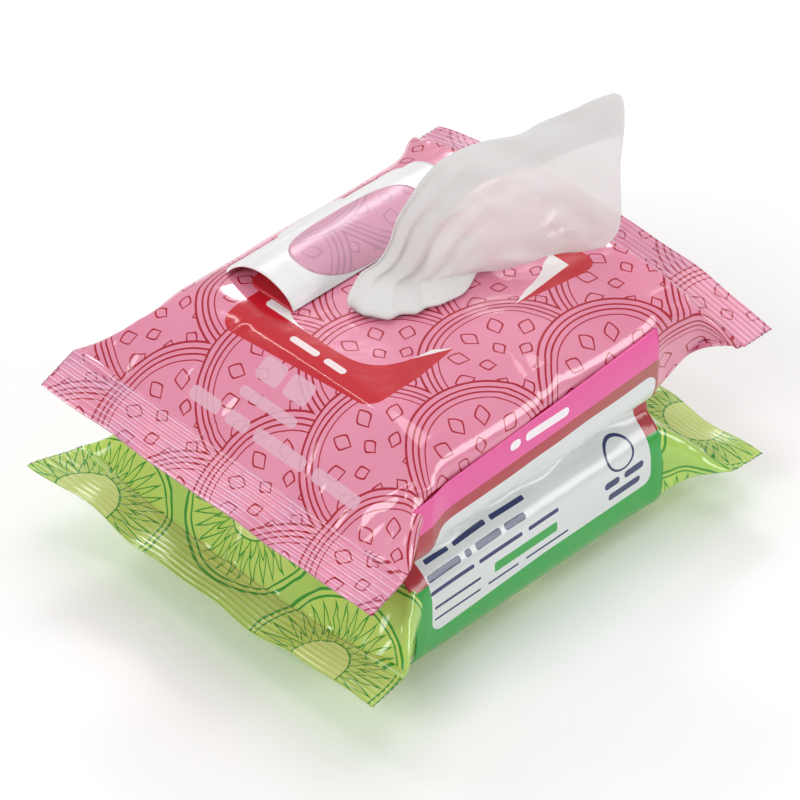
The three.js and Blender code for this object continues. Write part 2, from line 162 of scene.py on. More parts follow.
world = bpy.data.worlds.new("studio")
world.use_nodes = True
world.node_tree.nodes["Background"].inputs["Color"].default_value = (1, 1, 1, 1)
world.node_tree.nodes["Background"].inputs["Strength"].default_value = 0.46
bpy.context.scene.world = world
bpy.context.scene.view_settings.view_transform = "Standard"


# ---- Lower pouch ----
# A sealed flow wrap of glossy printed polyester and polyethylene film round thirty folded wipes. The film is
# one tube, seamed along its underside and pressed shut with crimping jaws at both ends, so its girth is the
# same all along. Its ends slope from the stack to the seals in soft folds.

film_girth = 268.0
inner_seal = 66.0
half_length = 79.0
seal_depth = half_length - inner_seal
film_wall = 0.3
crimp_pitch = 1.8
crimp_height = 0.24
film_steps = 320


def between(start, stop, share):
    """start plus a share of the way to stop."""
    return start + (stop - start) * share


def eased(share):
    """Smooth step share ** 2 (3 - 2 share) of a share that is kept between 0 and 1."""
    share = np.clip(share, 0, 1)
    return share * share * (3 - 2 * share)


def section_of(pouch, x, inset=0.0):
    """Heights and superellipse powers of a pouch's sections at the stations x: the top and bottom run level to
    the flat's end, then go as share ** 1.25 to the seal, the first turn softened with a softplus. The end seal
    starts at a pouch's corner height and slopes outwards, and it bows up or down in its middle."""
    left = x < 0
    corner, bow, rise = (np.where(left, a, b) for a, b in zip(pouch["left"], pouch["right"]))
    fin = corner + rise * np.minimum(seal_depth, half_length - np.abs(x))

    def down(ends):
        flat_end = np.where(left, -ends[0], ends[1])
        share = (np.abs(x) - flat_end) / (inner_seal - flat_end)
        soft = 0.05
        return np.minimum(soft * np.log1p(np.exp(np.clip(share / soft, -40, 40))), 1) ** 1.25

    top_share, bottom_share = down(pouch["top_ends"]), down(pouch["bottom_ends"])
    crown = pouch["floor"] + pouch["height"]
    level = eased((np.abs(x) / inner_seal - 0.45) / 0.55)
    return {
        "top": between(crown, fin + film_wall, top_share) - inset,
        "bottom": between(pouch["floor"], fin - film_wall, bottom_share) + 2 * inset,
        "middle": between(pouch["floor"] + pouch["height"] / 2, fin, level),
        "top_power": between(4.0, 2.6, top_share),
        "bottom_power": between(4.0, 2.6, bottom_share),
        "bow": bow * top_share,
        "pressed": 0.4 * (1 - np.maximum(top_share, bottom_share)),
    }


def outline_of(section):
    """Each section once round from the middle of its top by the front: y over the half width is
    -sign(sin a) |sin a| ** (2 / power), and z is middle + half height sign(cos a) |cos a| ** (2 / power)."""
    angle = np.linspace(0, 2 * np.pi, 961)
    over = np.cos(angle) >= 0
    power = np.where(over, section["top_power"][:, None], section["bottom_power"][:, None])
    upper_half, lower_half = section["top"] - section["middle"], section["middle"] - section["bottom"]
    half = np.where(over, upper_half[:, None], lower_half[:, None]) + section["pressed"][:, None]
    z = section["middle"][:, None] + half * np.sign(np.cos(angle)) * np.abs(np.cos(angle)) ** (2 / power)
    y = -np.sign(np.sin(angle)) * np.abs(np.sin(angle)) ** (2 / power)
    return y, np.clip(z, section["bottom"][:, None], section["top"][:, None])


def half_width_of(section):
    """Half widths at which the sections' lengths come to the film's girth, by halving the interval."""
    y, z = outline_of(section)
    run, rise = np.diff(y), np.diff(z)
    low, high = np.zeros(len(y)), np.full(len(y), film_girth / 2)
    for _ in range(26):
        half = (low + high) / 2
        long = np.hypot(run * half[:, None], rise).sum(1) > film_girth
        low, high = np.where(long, low, half), np.where(long, half, high)
    return (low + high) / 2


def rings_of(pouch, x, shares, inset=0.0):
    """Film points at stations x and shares of the girth, from the underside round the back, top and front; the
    inset, a number or one for each station, gives the film's inner side."""
    width = half_width_of(section_of(pouch, x)) - 2 * inset
    section = section_of(pouch, x, inset)
    y, z = outline_of(section)
    y = y * width[:, None]
    length = np.concatenate([np.zeros((len(x), 1)), np.cumsum(np.hypot(np.diff(y), np.diff(z)), 1)], 1)
    places = np.mod(shares, 1.0)
    y = np.stack([np.interp(places * row[-1], row, line) for row, line in zip(length, y)])
    z = np.stack([np.interp(places * row[-1], row, line) for row, line in zip(length, z)])
    z = z + section["bow"][:, None] * (1 - (2 * y / (film_girth / 2)) ** 2)
    return np.stack([np.broadcast_to(x[:, None], y.shape), y, z], 2)


def bump_at(x, v, centre, spread, turn=0.0):
    """Bell exp(-(p / a) ** 2 - (q / b) ** 2) about a place on the film, its axes turned by an angle in degrees."""
    angle = np.radians(turn)
    p = (x - centre[0]) * np.cos(angle) + (v - centre[1]) * np.sin(angle)
    q = -(x - centre[0]) * np.sin(angle) + (v - centre[1]) * np.cos(angle)
    return np.exp(-((p / spread[0]) ** 2) - (q / spread[1]) ** 2)


def swell(x, v, seed, waves, shortest, longest):
    """Gentle uneven swell between about -1 and 1: a sum of seeded sine waves of mixed lengths and headings."""
    draw = np.random.default_rng(seed)
    total = 0.0
    for _ in range(waves):
        heading, phase = draw.uniform(0, 2 * np.pi, 2)
        wave = 2 * np.pi / draw.uniform(shortest, longest)
        total = total + np.sin(wave * (np.cos(heading) * x + np.sin(heading) * v) + phase)
    return total / np.sqrt(waves)


def film_relief(pouch, x, v, seed):
    """How far the film stands off its plain form: a slight swell, long and short folds that run up the end
    slopes from the seals, a crease from each corner of the flat to the seal's corner, a dent in the side beside
    it, and the pouch's own creases. Each of them is a bell, given by its place, two spreads, turn and height.
    It is strongest on the end slopes, and calm in the seals and on the underside."""
    outward = np.abs(x)
    slope = eased((outward - 42) / 16)
    side = eased((np.abs(v) - 46) / 10) * eased((104 - np.abs(v)) / 16)
    relief = 0.16 * swell(x, v, seed, 9, 28, 60) + 0.35 * side * swell(x, v, seed + 1, 8, 22, 48)
    draw = np.random.default_rng(seed + 2)
    for end in (-1, 1):
        for _ in range(15):
            middle = draw.uniform(-62, 62)
            length, width, lean = draw.uniform(7, 17), draw.uniform(1.1, 2.6), draw.uniform(-28, 28)
            height = draw.uniform(0.25, 0.6) * draw.choice([-1, 1])
            relief = relief + height * bump_at(x, v, (end * 64, middle), (length, width), lean)
        for _ in range(14):
            middle, length = draw.uniform(-60, 60), draw.uniform(4, 9)
            height, lean = draw.uniform(0.15, 0.32) * draw.choice([-1, 1]), draw.uniform(-45, 45)
            relief = relief + height * bump_at(x, v, (end * 61, middle), (length, 0.9), lean)
        for flank in (-1, 1):
            crease = bump_at(x, v, (end * 55, flank * 56), (17, 2.2), end * flank * 36)
            dent = bump_at(x, v, (end * 57, flank * 73), (15, 9), end * flank * 25)
            relief = relief + 1.1 * crease - 2.2 * dent
    calm = 1 - 0.92 * eased((outward - inner_seal) / 2)
    under = 1 - eased((np.abs(v) - 96) / 14)
    relief = relief * calm * under * (0.45 + 0.55 * slope + 0.3 * side)
    for centre, spread, turn, height in pouch["creases"]:
        relief = relief + height * bump_at(x, v, centre, spread, turn)
    return relief


def wrinkled(pouch, points, x, v, seed):
    """Film points moved along their outward normals by the film's relief."""
    outward = np.cross(np.gradient(points, axis=1), np.gradient(points, axis=0))
    outward /= np.linalg.norm(outward, axis=2, keepdims=True) + 1e-12
    return points + film_relief(pouch, x[:, None], v[None, :], seed)[:, :, None] * outward


def pouch_film(pouch, seed):
    """Points of a pouch's film and their places on its print: along the film from its middle, and round it from
    the middle of its top, both in millimetres. In the seals both films move together: a ridge
    exp(-(d / 0.2 pitch) ** 2) in each crimp, two sine waves that grow outwards, and a drawn out corner."""
    body = np.linspace(-inner_seal, inner_seal, 150)
    out = np.linspace(0, seal_depth, 43)[1:]
    x = np.concatenate([-inner_seal - out[::-1], body, inner_seal + out])
    shares = np.linspace(-0.5, 0.5, film_steps + 1)
    points = rings_of(pouch, x, shares)
    v = film_girth * shares
    crest = points[:, film_steps // 2]
    along = np.concatenate([[0], np.cumsum(np.hypot(np.diff(crest[:, 0]), np.diff(crest[:, 2])))])
    along -= np.interp(0, x, along)
    points = wrinkled(pouch, points, x, v, seed)
    past = np.abs(x) - inner_seal
    ridge = np.exp(-(((past % crimp_pitch / crimp_pitch - 0.5) / 0.2) ** 2))
    crimp = np.where((past > 0) & (past < seal_depth - 0.4), crimp_height * ridge, 0)
    free = eased(past / seal_depth)
    y = points[:, :, 1]
    wave = np.sin(y / 7.5 + 2.0 * np.sign(x)[:, None] + seed) + 0.6 * np.sin(y / 4.1 + seed)
    tip = free[:, None] * np.exp(-(((y - film_girth / 4) / 9) ** 2)) * (x < 0)[:, None]
    points[:, :, 2] += crimp[:, None] + pouch["ripple"] * free[:, None] * wave
    points = points + tip[:, :, None] * pouch["tip"]
    points[:, -1] = points[:, 0]
    return x, points[:, :-1], np.stack(np.broadcast_arrays(along[:, None], v[None, :]), 2)


def ring_faces(rows, columns):
    """Quads of a tube of rings, and the same quads on its print, which has one more column than the tube."""
    i, j = np.meshgrid(np.arange(rows - 1), np.arange(columns), indexing="ij")
    i = i[..., None] + np.array([0, 0, 1, 1])
    j = j[..., None] + np.array([0, 1, 1, 0])
    return (i * columns + j % columns).reshape(-1, 4), (i * (columns + 1) + j).reshape(-1, 4)


def closed_ends(rows, columns):
    """Quads that close a tube's two ends: each point of the upper film joins the one under it."""
    k = np.arange(columns // 2)
    upper, lower = columns // 4 + k, columns // 4 - k
    quads = np.stack([lower, lower - 1, upper + 1, upper], 1)
    first, last = quads[:, ::-1] % columns, quads % columns + (rows - 1) * columns
    print_first, print_last = quads[:, ::-1] % columns, quads % columns + (rows - 1) * (columns + 1)
    return np.concatenate([first, last]), np.concatenate([print_first, print_last])


def make_piece(name, points, faces, print_map, print_faces, finishes, kinds=None):
    """Object from points in millimetres and faces, each corner that repeats the one before it left out, with
    the print place of each corner; kinds picks each face's finish."""
    kept = faces != np.roll(faces, 1, axis=1)
    sizes = kept.sum(1)
    mesh = bpy.data.meshes.new(name)
    mesh.vertices.add(points.size // 3)
    mesh.vertices.foreach_set("co", (points / 1000).astype(np.float32).ravel())
    mesh.loops.add(int(sizes.sum()))
    mesh.loops.foreach_set("vertex_index", faces[kept].astype(np.int32))
    mesh.polygons.add(len(faces))
    mesh.polygons.foreach_set("loop_start", (np.cumsum(sizes) - sizes).astype(np.int32))
    mesh.update(calc_edges=True)
    layer = mesh.uv_layers.new(name="print")
    layer.data.foreach_set("uv", print_map.reshape(-1, 2)[print_faces[kept]].astype(np.float32).ravel())
    mesh.polygons.foreach_set("use_smooth", np.ones(len(faces), bool))
    for finish in finishes:
        mesh.materials.append(finish)
    if kinds is not None:
        mesh.polygons.foreach_set("material_index", kinds.astype(np.int32))
    piece = placed(name, mesh)
    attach(piece, "root")
    return piece


def inside_bar(n, u, v, centre, size, corner):
    """1 inside a rounded rectangle on the print: length of max(|p| - half size + corner, 0) is under corner."""
    sides = [
        n("Math:MAXIMUM", n("Math:SUBTRACT", n("Math:ABSOLUTE", n("Math:SUBTRACT", p, c)), s / 2 - corner), 0.0)
        for p, c, s in ((u, centre[0], size[0]), (v, centre[1], size[1]))
    ]
    length = n("VectorMath:LENGTH", n("CombineXYZ", *sides)).outputs["Value"]
    return n("Math:LESS_THAN", length, corner)


def joined(n, *masks):
    """Mask of all that any of the masks covers: their maximum."""
    whole = masks[0]
    for mask in masks[1:]:
        whole = n("Math:MAXIMUM", whole, mask)
    return whole


def film_gloss(n, u, v):
    """Fine crinkle of thin film: two noises, 9 mm and 2.5 mm across, as a slight bump. Real crinkle is finer
    still, and is drawn coarser so that it shows in the gloss."""
    place = n("CombineXYZ", u, v)
    broad = n("TexNoise", place, None, 1 / 9, 2.0).outputs[0]
    fine = n("TexNoise", place, None, 1 / 2.5, 2.0).outputs[0]
    height = n("Math:ADD", broad, n("Math:MULTIPLY", fine, 0.12))
    return n("Bump", 0.35, 0.0006, None, height)


def seal_marks(n):
    """Masks of the pale lines that the crimping jaws press into a seal, and of the whole seal. Real jaws press
    about one line per millimetre; the lines are drawn nearly twice as far apart so that they show."""
    x = n("SeparateXYZ", n("TexCoord").outputs["Object"]).outputs[0]
    past = n("Math:SUBTRACT", n("Math:MULTIPLY", n("Math:ABSOLUTE", x), 1000.0), inner_seal)
    line = n("Math:COMPARE", n("Math:FLOORED_MODULO", past, crimp_pitch), crimp_pitch / 2, 0.15)
    return n("Math:MULTIPLY", line, n("Math:COMPARE", past, 6.3, 6.2)), n("Math:GREATER_THAN", past, 0.0)


def seen_from_middle(n, u, v, column, row, steps, rim=None):
    """Distance and angle of a place on the print from one middle of a pattern in staggered rows, every other
    row half a column along: of the rows at these steps from its own, the last whose middle is nearer than rim,
    or simply the nearest where no rim is given."""
    base = n("Math:FLOOR", n("Math:DIVIDE", v, row))
    seen = None
    for step in steps:
        index = n("Math:ADD", base, step)
        down = n("Math:SUBTRACT", v, n("Math:MULTIPLY", index, row))
        shift = n("Math:MULTIPLY", n("Math:FLOORED_MODULO", index, 2.0), column / 2)
        middle = n("CombineXYZ", n("Math:WRAP", n("Math:SUBTRACT", u, shift), column / 2, -column / 2), down)
        length = n("VectorMath:LENGTH", middle).outputs["Value"]
        if seen is None:
            seen, distance = middle, length
        else:
            wins = n("Math:LESS_THAN", length, rim or distance)
            seen = n("MixRGB", wins, seen, middle)
            distance = n("VectorMath:LENGTH", seen).outputs["Value"]
    x, y = n("SeparateXYZ", seen).outputs[:2]
    return distance, n("Math:ARCTAN2", y, x)


def rosette_paint(n):
    """Green film: rings of pointed petals in staggered rows, each in a double outline, on two greens. A petal's
    outline is where its rise outwards equals its nearness to its own middle line."""
    column, row, rim, eye = 58.0, 47.0, 25.0, 9.0
    u, v = n("SeparateXYZ", n("UVMap", uv_map="print")).outputs[:2]
    wobble = n("TexNoise", n("CombineXYZ", u, v), None, 0.05, 2.0).outputs[0]
    bent = n("Math:ADD", v, n("Math:MULTIPLY", wobble, 7.0))
    nearest, angle = seen_from_middle(n, u, bent, column, row, (0.0, 1.0))
    inks = [n("Math:COMPARE", nearest, r, w) for r, w in ((rim, 0.45), (rim - 1.9, 0.32), (eye, 0.26))]
    for petals, inner, outer, line in ((34, 12.0, 21.5, 0.11), (24, eye, 14.5, 0.1)):
        turn = n("Math:FRACT", n("Math:MULTIPLY", angle, petals / (2 * np.pi)))
        peak = n("Math:SUBTRACT", 1.0, n("Math:MULTIPLY", n("Math:ABSOLUTE", n("Math:SUBTRACT", turn, 0.5)), 2.0))
        rise = n("Math:DIVIDE", n("Math:SUBTRACT", nearest, inner), outer - inner)
        inks.append(n("Math:COMPARE", rise, peak, line))
    ink = joined(n, *inks)
    pale = n("Math:LESS_THAN", nearest, eye)
    skin = n("Math:GREATER_THAN", nearest, rim)
    slow = n("TexNoise", n("CombineXYZ", u, v), None, 0.03, 1.0).outputs[0]
    line, seal = seal_marks(n)
    coats = [(pale, 1.0, "#d3ee82"), (skin, 1.0, "#9fd148"), (slow, 0.4, "#e4f09a"), (ink, 1.0, "#2f9a22")]
    # Over the seals a greyer green is painted as shade; the pale lines are the crimp lines that the jaws press.
    coats += [(seal, 0.1, "#8fb98a"), (line, 0.4, "#eef8c8")]
    return coated(n, "#b4dc4e", *coats), 0.16, film_gloss(n, u, v), None


# Polyester film, gravure printed on its back and laminated to polyethylene: clear, even colour under a smooth
# gloss that breaks into crisp glints on the folds.
film_shine = {"IOR": 1.5, "Coat_Weight": 0.6, "Coat_Roughness": 0.05}
green_film = finish_of("green_gravure_printed_polyester_film", rosette_paint, **film_shine)

# Each pouch: its floor and height; for its left and right end the seal's corner height, its bow and its slope
# outwards; the ends of its level top and bottom; the seals' waves; how its far left corner is drawn out; and
# its main creases.
lower = {
    "floor": 0.0,
    "height": 40.8,
    "left": (22.0, -5.0, 0.1),
    "right": (15.0, 0.0, 0.1),
    "top_ends": (-45.75, 45.75),
    "bottom_ends": (-45.75, 45.75),
    "ripple": 0.9,
    "tip": np.array([-4.6, 3.2, 2.6]),
    "creases": [
        ((-58, -30), (9, 1.6), 20, 0.8),
        ((-60, 12), (8, 1.4), -15, 0.6),
        ((-61, 38), (7, 1.1), 36, 0.7),
        ((-57, -8), (10, 1.2), -24, 0.6),
        ((-62, 27), (8, 1.0), 22, 0.5),
        ((60, -40), (9, 1.6), 25, 0.7),
    ],
}


def pouch_piece(name, pouch, seed, finishes):
    """A sealed pouch as one closed piece: its film's tube with the seals' outer edges closed."""
    x, points, print_map = pouch_film(pouch, seed)
    tube, tube_print = ring_faces(*points.shape[:2])
    ends, ends_print = closed_ends(*points.shape[:2])
    faces, print_faces = np.concatenate([tube, ends]), np.concatenate([tube_print, ends_print])
    return make_piece(name, points, faces, print_map, print_faces, finishes)


lower_film = pouch_piece("lower_pouch_film", lower, 3, [green_film])
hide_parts("lower_pouch")


# ---- Upper pouch ----
# The same flow wrap in pink, opened: an oval was cut through the film of its top under the reseal label, and
# the peeled label took the oval with it. The red printed frame of the label's place is left on the film.

upper = {
    "floor": 41.2,
    "height": 40.13,
    "left": (54.0, 0.0, 0.42),
    "right": (62.0, 8.0, 0.0),
    "top_ends": (-38.55, 57.75),
    "bottom_ends": (-48.6, 48.6),
    "ripple": 0.35,
    "tip": np.zeros(3),
    "creases": [
        ((-40.5, 12), (0.9, 26), 0, 0.4),
        ((2, 46.5), (36, 1.0), 0, 0.35),
        ((11, 26), (8, 5.5), 25, 0.95),
        ((8, 46), (4, 7.5), 15, 0.95),
        ((2, 42), (0.8, 15), 15, 0.3),
        ((-50, 52), (14, 1.2), 38, 0.7),
        ((-56, 20), (12, 1.1), -20, 0.5),
        ((-53, -28), (13, 1.2), 24, 0.5),
        ((-61, 40), (8, 0.9), 55, 0.45),
        ((-60, -50), (9, 1.0), -30, 0.5),
        ((64, -20), (10, 1.5), 14, 0.7),
    ],
}
film_top = upper["floor"] + upper["height"]
opening_middle = np.array([7.5, 3.35])
opening_half = np.array([23.5, 11.35])
oval_power = 2 / 2.4


def lozenges(n, distance, angle, radius, count, length, width, line):
    """Outlines of lozenges in a ring: |across / half width| + |along / half length| ** 1.4 is 1 on them."""
    half = np.pi * radius / count
    across = n("Math:WRAP", n("Math:MULTIPLY", angle, radius), half, -half)
    along = n("Math:ABSOLUTE", n("Math:DIVIDE", n("Math:SUBTRACT", distance, radius), length / 2))
    shape = n("Math:ADD", n("Math:DIVIDE", n("Math:ABSOLUTE", across), width / 2), n("Math:POWER", along, 1.4))
    return n("Math:COMPARE", shape, 1.0, line)


def scallop_ink(n, u, v):
    """Share of ink of overlapping scallops: rings in staggered rows, each row over the one before it, with
    fine lines inside each rim and two rings of lozenges round its middle."""
    rim, column, row = 27.0, 51.0, 21.0
    distance, angle = seen_from_middle(n, u, v, column, row, (-1.0, 0.0, 1.0, 2.0), rim)
    rims = [n("Math:COMPARE", distance, r, w) for r, w in ((26.7, 0.42), (24.6, 0.3), (22.9, 0.3), (21.0, 0.2))]
    kernels = [
        lozenges(n, distance, angle, 15.5, 11, 6.0, 4.4, 0.14),
        lozenges(n, distance, n("Math:ADD", angle, 0.35), 7.4, 6, 4.6, 3.6, 0.18),
    ]
    return joined(n, *rims, *kernels)


def scallop_paint(n):
    """Pink film with red scallops, plain pale bars, and the label's red frame: a rounded rectangle with a
    superellipse window, whose two front arms taper to a point, each with a white sliver on its inner side."""
    u, v = n("SeparateXYZ", n("UVMap", uv_map="print")).outputs[:2]
    ink = scallop_ink(n, u, v)
    slow = n("TexNoise", n("CombineXYZ", u, v), None, 0.03, 1.0).outputs[0]
    skewed = n("Math:SUBTRACT", u, n("Math:MULTIPLY", v, 0.07))
    outer = inside_bar(n, skewed, v, (1.4, -0.6), (89.6, 58.0), 5.0)
    panel = inside_bar(n, u, v, (4.5, -0.4), (73.0, 48.0), 1.5)
    powers = [
        n("Math:POWER", n("Math:DIVIDE", n("Math:ABSOLUTE", n("Math:SUBTRACT", place, middle)), half), 3.6)
        for place, middle, half in ((u, 4.5, 36.5), (v, -0.6, 23.6))
    ]
    window = n("Math:LESS_THAN", n("Math:ADD", *powers), 1.0)
    edge = n("Math:MULTIPLY", outer, n("Math:SUBTRACT", 1.0, window))
    behind = n("Math:MULTIPLY", panel, n("Math:LESS_THAN", v, 0.0))
    arms = [n("Math:LESS_THAN", u, -24.0), n("Math:GREATER_THAN", u, 41.0), n("Math:LESS_THAN", v, 0.0)]
    slivers = [behind]
    for run, tip, arm, sliver in (
        (n("Math:SUBTRACT", -8.0, u), 26.4, (-0.15, 0.28), (-0.615, 0.185)),
        (n("Math:SUBTRACT", u, 17.5), 25.0, (0.03, 0.115), (-0.24, 0.155)),
    ):
        run = n("Math:MAXIMUM", run, 0.0)
        for masks, (lean, spread) in ((arms, arm), (slivers, sliver)):
            line = n("Math:ADD", tip, n("Math:MULTIPLY", run, lean))
            masks.append(n("Math:COMPARE", v, line, n("Math:MULTIPLY", run, spread)))
    red = n("Math:MULTIPLY", joined(n, *arms), n("Math:SUBTRACT", 1.0, behind))
    bars = [inside_bar(n, u, v, (-36.6, middle), (2.2, length), 1.1) for middle, length in ((-3.0, 11.0), (9.0, 8.0))]
    last_row = ((-19.0, 12.0), (-6.0, 9.0), (11.0, 20.0), (33.0, 18.0))
    blocks = [(-48.0, -5.5, 7.0, 9.0), (-48.0, 5.5, 7.0, 9.0), (-56.5, 0.0, 3.2, 22.0)]
    blocks += [(-64.5, middle, 4.2, length) for middle, length in last_row]
    faint = [inside_bar(n, u, v, block[:2], block[2:], 1.6) for block in blocks]
    line, seal = seal_marks(n)
    patch = n("TexNoise", n("CombineXYZ", u, v), None, 0.07, 2.0).outputs[0]
    # Where the noise is high, the seals get a mauve painted shade.
    seal_shade_patches = n("Math:MULTIPLY", n("Math:SUBTRACT", patch, 0.42, use_clamp=True), 1.6)
    coats = [(slow, 1.0, "#ea9bb3"), (ink, 1.0, "#a90e28"), (joined(n, *slivers), edge, "#efe8e8")]
    coats += [(red, edge, "#c41f2d"), (joined(n, *bars), 1.0, "#f3dfe2"), (joined(n, *faint), 0.8, "#e3b3c4")]
    coats += [(seal, seal_shade_patches, "#c08cb2"), (line, patch, "#f9dbe6")]
    return coated(n, "#df7f9e", *coats), 0.16, film_gloss(n, u, v), None


# The same laminate in pink and red; its seals, where the two films are pressed together, carry a mauve painted shade
# in patches.
pink_film = finish_of("pink_gravure_printed_polyester_film", scallop_paint, **film_shine)


def hollow_film(name, pouch, seed, finishes):
    """A pouch's film with its inside and its opening cut out: the skin less its cavity, whose film stands in by
    the wall and a little more towards the seals, and less an upright plug of the opening's superellipse."""
    whole = pouch_piece(name, pouch, seed, finishes)
    x = np.linspace(-58, 62, 110)
    shares = np.linspace(-0.5, 0.5, 161)
    inset = film_wall + 0.7 * eased((np.abs(x) - 42) / 8)
    inside = wrinkled(pouch, rings_of(pouch, x, shares, inset), x, film_girth * shares, seed)[:, :-1]
    tube, _ = ring_faces(*inside.shape[:2])
    ends, _ = closed_ends(*inside.shape[:2])
    steps = 96
    angle = np.linspace(0, 2 * np.pi, steps + 1)[:-1]
    round_oval = [np.sign(f) * np.abs(f) ** oval_power for f in (np.cos(angle), np.sin(angle))]
    oval = opening_middle + opening_half * np.stack(round_oval, 1)
    plug = np.stack([np.column_stack([oval, np.full(steps, z)]) for z in (film_top + 3, film_top - 3)])
    walls, _ = ring_faces(2, steps)
    lids = [list(range(steps)), list(range(2 * steps - 1, steps - 1, -1))]
    cutters = []
    for label, points, faces in (
        ("cavity", inside, [list(dict.fromkeys(f)) for f in np.concatenate([tube, ends]).tolist()]),
        ("plug", plug, walls[:, ::-1].tolist() + lids),
    ):
        mesh = bpy.data.meshes.new(label)
        mesh.from_pydata(points.reshape(-1, 3) / 1000, [], faces)
        mesh.polygons.foreach_set("use_smooth", np.ones(len(faces), bool))
        cutter = placed(label, mesh)
        cut = whole.modifiers.new(label, "BOOLEAN")
        cut.operation, cut.solver, cut.object = "DIFFERENCE", "EXACT", cutter
        cutters.append(cutter)
    bpy.context.view_layer.update()
    settled = whole.evaluated_get(bpy.context.evaluated_depsgraph_get())
    mesh = bpy.data.meshes.new_from_object(settled)
    whole.modifiers.clear()
    whole.data = mesh
    for cutter in cutters:
        bpy.data.objects.remove(cutter)
    return whole


upper_film = hollow_film("upper_pouch_film", upper, 11, [pink_film])
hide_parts("upper_pouch")


# ---- Stack of wipes ----
# Twenty-nine moist viscose nonwoven wipes, each cut to 195 by 177 mm and folded in half twice, with its first
# fold at the front and its second at the right. They lie on each other under the film, the pile leaning to the
# right and drooping a little at its long edges.

wipe_cut = (195.0, 177.0)
ply = 0.32
wipe_pitch = 1.31
wipes_held = 29
pile_lean = 9.6


def thick_sheet(name, points, wall, print_map, finishes, both=False):
    """Closed sheet over a grid of points, half its wall on either side; its first finish is on the side that
    rows cross columns points to, and the second on the other where both is set."""
    normal = np.cross(np.gradient(points, axis=0), np.gradient(points, axis=1))
    normal /= np.linalg.norm(normal, axis=2, keepdims=True) + 1e-12
    rows, columns = points.shape[:2]
    i, j = np.meshgrid(np.arange(rows - 1), np.arange(columns - 1), indexing="ij")
    i = i[..., None] + np.array([0, 1, 1, 0])
    corners = (i * columns + j[..., None] + np.array([0, 0, 1, 1])).reshape(-1, 4)
    layer = rows * columns
    rim = np.concatenate(
        [
            np.arange(columns),
            np.arange(1, rows) * columns + columns - 1,
            (rows - 1) * columns + np.arange(columns - 2, -1, -1),
            np.arange(rows - 2, 0, -1) * columns,
        ]
    )
    following = np.roll(rim, -1)
    edge = np.stack([rim, following, following + layer, rim + layer], 1)
    faces = np.concatenate([corners, corners[:, ::-1] + layer, edge])
    both_sides = np.concatenate([points + normal * wall / 2, points - normal * wall / 2])
    kinds = np.concatenate([np.zeros(len(corners)), np.full(len(corners), int(both)), np.zeros(len(edge))])
    return make_piece(name, both_sides, faces, np.concatenate([print_map, print_map]), faces, finishes, kinds)


def wipe_paint(n):
    """Fibres in two headings, as faint mottle and a fine bump. Real ones are too fine to show, so they are drawn
    as strands some 5 mm long and half a millimetre wide."""
    u, v = n("SeparateXYZ", n("UVMap", uv_map="print")).outputs[:2]
    strands = [
        n("TexNoise", n("CombineXYZ", n("Math:MULTIPLY", u, a), n("Math:MULTIPLY", v, b)), None, scale, 4.0)
        for a, b, scale in ((0.25, 2.0, 0.8), (2.0, 0.3, 0.6))
    ]
    fibres = n("Math:MULTIPLY", n("Math:ADD", *strands), 0.5)
    damp = n("TexNoise", n("CombineXYZ", u, v), None, 0.035, 3.0).outputs[0]
    colour = coated(n, "#efedeb", (fibres, 1.0, "#fdfdfc"), (damp, 0.35, "#e9e6e4"))
    return colour, 0.62, n("Bump", 0.3, 0.0002, None, fibres), 0.68


# Spunlaced viscose nonwoven, moist with lotion: soft matt white that glows a little where light comes through.
moist_cloth = {"Subsurface_Weight": 0.3, "Subsurface_Radius": (0.004, 0.004, 0.004)}
wet_cloth = finish_of("moist_spunlaced_viscose_nonwoven", wipe_paint, **moist_cloth)


def stack_height(y, height):
    """Height in the pile, which shrinks about its middle by a fifth towards its two long edges."""
    middle = wipes_held * wipe_pitch / 2
    shrink = 1 - 0.2 * np.minimum(1, np.abs(y) / (wipe_cut[1] / 4)) ** 4
    return upper["floor"] + 0.75 + middle + (height - middle) * shrink


def folded_wipe(index):
    """A wipe's middle surface: x is right less |a - 97.5|, y is front plus |b - 88.5|, both rounded at the fold,
    and its four plies lie in the order front half, back half, back half, front half."""
    near = np.concatenate([np.linspace(0, 0.95, 7)[:-1], np.linspace(0.95, 1.05, 13), np.linspace(1.05, 2, 7)[1:]])
    along, across = np.meshgrid(near * wipe_cut[0] / 2, near * wipe_cut[1] / 2, indexing="ij")
    p, q = across - wipe_cut[1] / 2, along - wipe_cut[0] / 2
    first, second = eased(p / 2.4 + 0.5), eased(q / 2.4 + 0.5)
    over = between(first, 3 - first, second)
    lean = pile_lean * index / (wipes_held - 1)
    fold_round = 0.7
    x = lean + wipe_cut[0] / 4 + 0.5 - np.hypot(q, fold_round)
    y = -wipe_cut[1] / 4 - 0.5 + np.hypot(p, fold_round)
    uneven = 0.35 * swell(along, across, 40 + index, 3, 60, 160)
    z = stack_height(y, index * wipe_pitch + (over + 0.5) * ply)
    return np.stack([x + uneven, y, z], 2), np.stack([along, across], 2)


for index in range(wipes_held):
    points, places = folded_wipe(index)
    wipe = thick_sheet(f"folded_wipe_{index + 1:02d}", points, 0.2, places, [wet_cloth])
    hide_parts(f"wipe_{index + 1:02d}")


# ---- Drawn wipe ----
# A moist nonwoven wipe, drawn up through the opening and folded over along its upper edge. It is gathered in
# soft folds against the opening's near rim, bulges a little over it, and fans out into a flag that leans to the
# front right. The rest of it is still spread on the stack under the film.


def flag_place(points):
    """Places on the flag's upright plane from distance along it and height over the film; the plane heads 60
    to the right for every 34 to the front, a way of 68.96."""
    along, height = np.array(points, float).T
    return np.stack([60 * along / 68.96, 2 - 34 * along / 68.96, film_top + height], 1)


